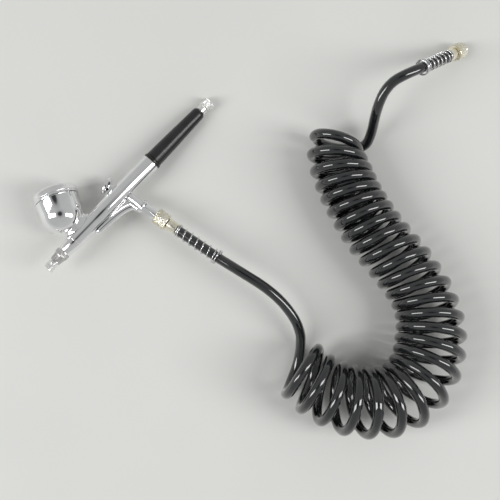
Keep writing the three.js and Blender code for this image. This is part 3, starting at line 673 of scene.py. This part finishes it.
def plate(name, outline, thickness):
    deselectAll()
    curve = bpy.data.curves.new(name, "CURVE")
    curve.dimensions = "2D"
    curve.fill_mode = "BOTH"
    curve.extrude = thickness / 2 * mm
    spline = curve.splines.new("POLY")
    spline.points.add(len(outline) - 1)
    spline.use_cyclic_u = True
    for point, target in zip(spline.points, outline):
        point.co = (target[0] * mm, target[1] * mm, 0, 1)
    return curveToMesh(name, curve)


# ---- finger rest, a bead with a rounded nose, a boss round the valve and a web up to the barrel
fingerRestPlan = {
    "line": [
        (40.3, -6.9), (44, -7.1), (48.1, -7.4), (53, -7.9), (57.1, -8.5), (61, -9.4), (63.8, -10.4),
        (66.0, -11.7), (67.2, -13.2),
    ],
    "lineSteps": 6, "bead": 2.3, "nose": 2.05, "roundness": 8,
    "noseLine": [(37.4, -6.35), (37.7, -6.4), (38.4, -6.5), (39.2, -6.6), (40.0, -6.75), (40.5, -6.85)],
    "noseShares": [0.1, 0.35, 0.65, 0.85, 0.97, 1.0],
    "bossFrom": (66.55, -9.5), "bossLean": 8, "bossSteps": (0, 2, 4, 5.9), "boss": 2.6,
    "webCorners": [(68.6, -13.5), (68.3, -4), (41, -4)], "web": 1.4,
    "barrelCut": [(6.12, 20), (6.12, 100)], "columnCut": [(3.3, 0), (3.3, 15.4), (3.3, 20)], "cutSides": 96,
}


def flatLine(points):
    return [Vector((x, y, 0)) for x, y in points]


roundness = fingerRestPlan["roundness"]
beadLine = smoothLine(flatLine(fingerRestPlan["line"]), fingerRestPlan["lineSteps"])
bead = swept("fingerRest", beadLine, fingerRestPlan["bead"], resolution=roundness)
nose = swept("nose", flatLine(fingerRestPlan["noseLine"]), fingerRestPlan["nose"],
             radii=fingerRestPlan["noseShares"], resolution=roundness)
unite(bead, nose)
bossLean = math.radians(fingerRestPlan["bossLean"])
bossAxis = Vector((math.sin(bossLean), -math.cos(bossLean), 0))
bossStart = Vector((*fingerRestPlan["bossFrom"], 0))
boss = swept("boss", [bossStart + bossAxis * step for step in fingerRestPlan["bossSteps"]],
             fingerRestPlan["boss"], resolution=roundness)
unite(bead, boss)
webTop = [(point.x, point.y) for point in beadLine[::fingerRestPlan["lineSteps"]]]
web = plate("web", [*webTop, *fingerRestPlan["webCorners"]], fingerRestPlan["web"])
unite(bead, web)
for cut, place in (("barrelCut", barrelPlace), ("columnCut", valvePlace)):
    cutter = turned(cut, solidOutline(fingerRestPlan[cut]), sides=fingerRestPlan["cutSides"])
    cutter.data.transform(gunPlace.inverted() @ place)
    subtract(bead, cutter)
finishPiece(bead, gunPlace, chrome, "gun", "chrome", "finger_rest", degrees=30)
print("finger rest made")

# ---- trigger, made upright about its pivot
triggerPlan = {
    "lean": 18,
    "pad": [
        (1.95, 9.3), (1.95, 10.6), (2.3, 11.0), (5.3, 11.9), (5.75, 12.2), (5.95, 12.7), (5.95, 13.4),
        (5.75, 13.8), (5.3, 13.95), (4.4, 13.6), (3.2, 13.35), (1.6, 13.25),
    ],
    "sides": 80, "padWidth": 0.8,  # share of the pad's length
    "bladeLow": (-1.2, -2.0, -0.6), "bladeHigh": (1.2, 2.0, 11.5), "bladeRound": 0.25,
    "needleGapLow": (-3, -1.0, 1.0), "needleGapHigh": (3, 1.0, 6.2),
}
triggerLean = math.radians(triggerPlan["lean"])
triggerPlace = lathePlace(triggerPivot, gunY * math.cos(triggerLean) - gunX * math.sin(triggerLean), gunX)
trigger = turned("triggerPiece", solidOutline(triggerPlan["pad"]), sides=triggerPlan["sides"])
trigger.data.transform(Matrix.Diagonal((1, triggerPlan["padWidth"], 1, 1)))
for name, round, join in (("blade", triggerPlan["bladeRound"], unite), ("needleGap", 0, subtract)):
    join(trigger, softBox(name, triggerPlan[name + "Low"], triggerPlan[name + "High"], round))
finishPiece(trigger, triggerPlace, chrome, "trigger", "chrome", "trigger")


# ---- hose fittings
# the guard's height and radius by turn: closed at its ends and flared over the hose
guardPlan = {
    "wire": 0.45, "pointsPerTurn": 28, "roundness": 3,
    "heights": [(0, 16.6), (1.3, 18.0), (7.0, 44.6), (7.6, 46.6), (9.2, 48.6)],
    "radii": [(0, 3.95), (6.8, 3.95), (7.5, 4.75), (9.2, 4.85)],
}
nutPlan = {
    "outline": [
        (2.95, 0.2), (3.2, 0), (4.95, 0), (5.2, 0.2), *band(5.35, 0.45, 8.4, 26), (5.15, 8.7), (4.85, 8.9),
        (2.9, 8.9), (2.9, 7.7), (4.0, 7.7), (4.0, 5.7), (2.95, 5.7),
    ],
    "sides": 120, "knurled": (0.5, 8.35), "diamonds": 20, "pitch": 2.0, "depth": 0.3, "skin": 5.25,
}
ferrulePlan = {
    "outline": [
        (2.0, 9.2), (3.4, 9.2), (3.6, 9.4), (3.6, 10.0), (3.8, 10.2), (3.8, 15.2), (3.65, 15.6),
        (2.0, 15.6),
    ],
    "sides": 80,
}


def guardPoints():
    turns = guardPlan["heights"][-1][0]
    points = []
    for step in range(int(turns * guardPlan["pointsPerTurn"]) + 1):
        turn = step / guardPlan["pointsPerTurn"]
        radius, angle = tableAt(guardPlan["radii"], turn), 2 * math.pi * turn
        height = tableAt(guardPlan["heights"], turn)
        points.append((radius * math.cos(angle), radius * math.sin(angle), height))
    return points


def makeFitting(place, suffix, tag):
    nut = turned("hoseNut" + suffix, closedOutline(nutPlan["outline"]), sides=nutPlan["sides"])
    shapeBand(nut, *nutPlan["knurled"],
              diamonds(nutPlan["diamonds"], nutPlan["pitch"], nutPlan["depth"], nutPlan["skin"]))
    finishPiece(nut, place, paleNickel, "hose_nut_" + tag, "pale_nickel", "hose_nut_" + tag)
    ferrule = turned("ferrule" + suffix, closedOutline(ferrulePlan["outline"]), sides=ferrulePlan["sides"])
    finishPiece(ferrule, place, paleNickel, "gun", "pale_nickel", "hose_ferrule_" + tag)
    guard = swept("springGuard" + suffix, guardPoints(), guardPlan["wire"],
                  resolution=guardPlan["roundness"])
    finishPiece(guard, place, springSteel, "gun", "spring_steel", "spring_guard_" + tag, degrees=60)
    return [nut, ferrule, guard, nodes["hose_barb_" + tag]]


gunFittings = makeFitting(gunFittingPlace, "Gun", "gun")
farFittings = makeFitting(farFittingPlace, "Far", "far")
print("fittings made")

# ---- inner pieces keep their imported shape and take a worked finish
for names, material in (
    (("fluid_nozzle", "valve_plunger", "valve_guide_screw", "packing_screw", "needle_tube", "spring_case",
      "chuck_nut", "hose_barb_gun", "hose_barb_far"), bareBrass),
    (("needle", "back_lever", "needle_spring", "valve_spring"), springSteel),
    (("head_seal", "needle_seal"), sealPlastic),
    (("valve_seal", "adjuster_ring"), rubber),
):
    for name in names:
        nodes[name].material_slots[0].material = material

# ---- floor, lights and surroundings
floorPlan = {
    "size": 6, "low": (0.66, 0.665, 0.64), "high": (0.68, 0.685, 0.66), "roughness": 0.6, "grain": 8,
}
deselectAll()
bpy.ops.mesh.primitive_plane_add(size=floorPlan["size"], location=(0, 0, 0))
floor = bpy.context.object
floor.name = "floor"
floorMaterial, floorTree, floorShader = startMaterial(
    "floorPaint", floorPlan["low"], 0.0, floorPlan["roughness"],
)
grain = addNoise(floorTree, floorPlan["grain"], detail=2)
floorColor = addColors(floorTree, grain, floorPlan["low"], floorPlan["high"])
floorTree.links.new(floorColor, floorShader.inputs["Base Color"])
floor.data.materials.append(floorMaterial)


def cameraWay(right, up):
    # a level direction given as the camera's right and up
    turn = math.radians(cameraPlan["turn"])
    cosine, sine = math.cos(turn), math.sin(turn)
    return Vector((right * cosine - up * sine, right * sine + up * cosine, 0))


# each window's turn round the table and tilt down from overhead, in degrees, its size and distance in m
windowPlan = {"length": 0.42, "width": 1.1, "strength": 8, "distance": 1.6}
windows = [("windowRight", -8, 46), ("windowLeft", 190, 46)]


def areaLight(name, turn, tilt):
    # a soft panel facing the table's middle
    way = cameraWay(math.cos(math.radians(turn)), math.sin(math.radians(turn)))
    data = bpy.data.lights.new(name, "AREA")
    data.shape = "RECTANGLE"
    data.size, data.size_y = windowPlan["length"], windowPlan["width"]
    data.energy = windowPlan["strength"] * math.pi * data.size * data.size_y
    light = bpy.data.objects.new(name, data)
    target = Vector((camera.location.x, camera.location.y, 0))
    tilt = math.radians(tilt)
    towards = way * math.sin(tilt) + Vector((0, 0, math.cos(tilt)))
    run = way.cross(Vector((0, 0, 1)))
    centre = target + towards * windowPlan["distance"]
    light.matrix_world = placeFromAxes(centre, run, towards.cross(run), towards)
    bpy.context.scene.collection.objects.link(light)


for window in windows:
    areaLight(*window)

# the room by height of direction: pale, palest at the horizon, with the dark camera straight overhead
roomPlan = {
    "horizon": (0.1, (0.6, 0.605, 0.6)), "overhead": (0.99, (0.04, 0.04, 0.045)),
    "between": [(0.3, 0.48), (0.9, 0.45), (0.965, 0.34)],
}
world = bpy.data.worlds.new("studio")
bpy.context.scene.world = world
world.use_nodes = True
sky = world.node_tree
heading = sky.nodes.new("ShaderNodeTexCoord")
parts = sky.nodes.new("ShaderNodeSeparateXYZ")
shade = sky.nodes.new("ShaderNodeValToRGB")
for stop, key in zip(shade.color_ramp.elements, ("horizon", "overhead")):
    stop.position, color = roomPlan[key]
    stop.color = (*color, 1)
for position, level in roomPlan["between"]:
    shade.color_ramp.elements.new(position).color = (level, level * 1.005, level, 1)
sky.links.new(heading.outputs["Generated"], parts.inputs["Vector"])
sky.links.new(parts.outputs["Z"], shade.inputs["Fac"])
sky.links.new(shade.outputs["Color"], sky.nodes["Background"].inputs["Color"])
bpy.context.scene.view_settings.view_transform = "Standard"
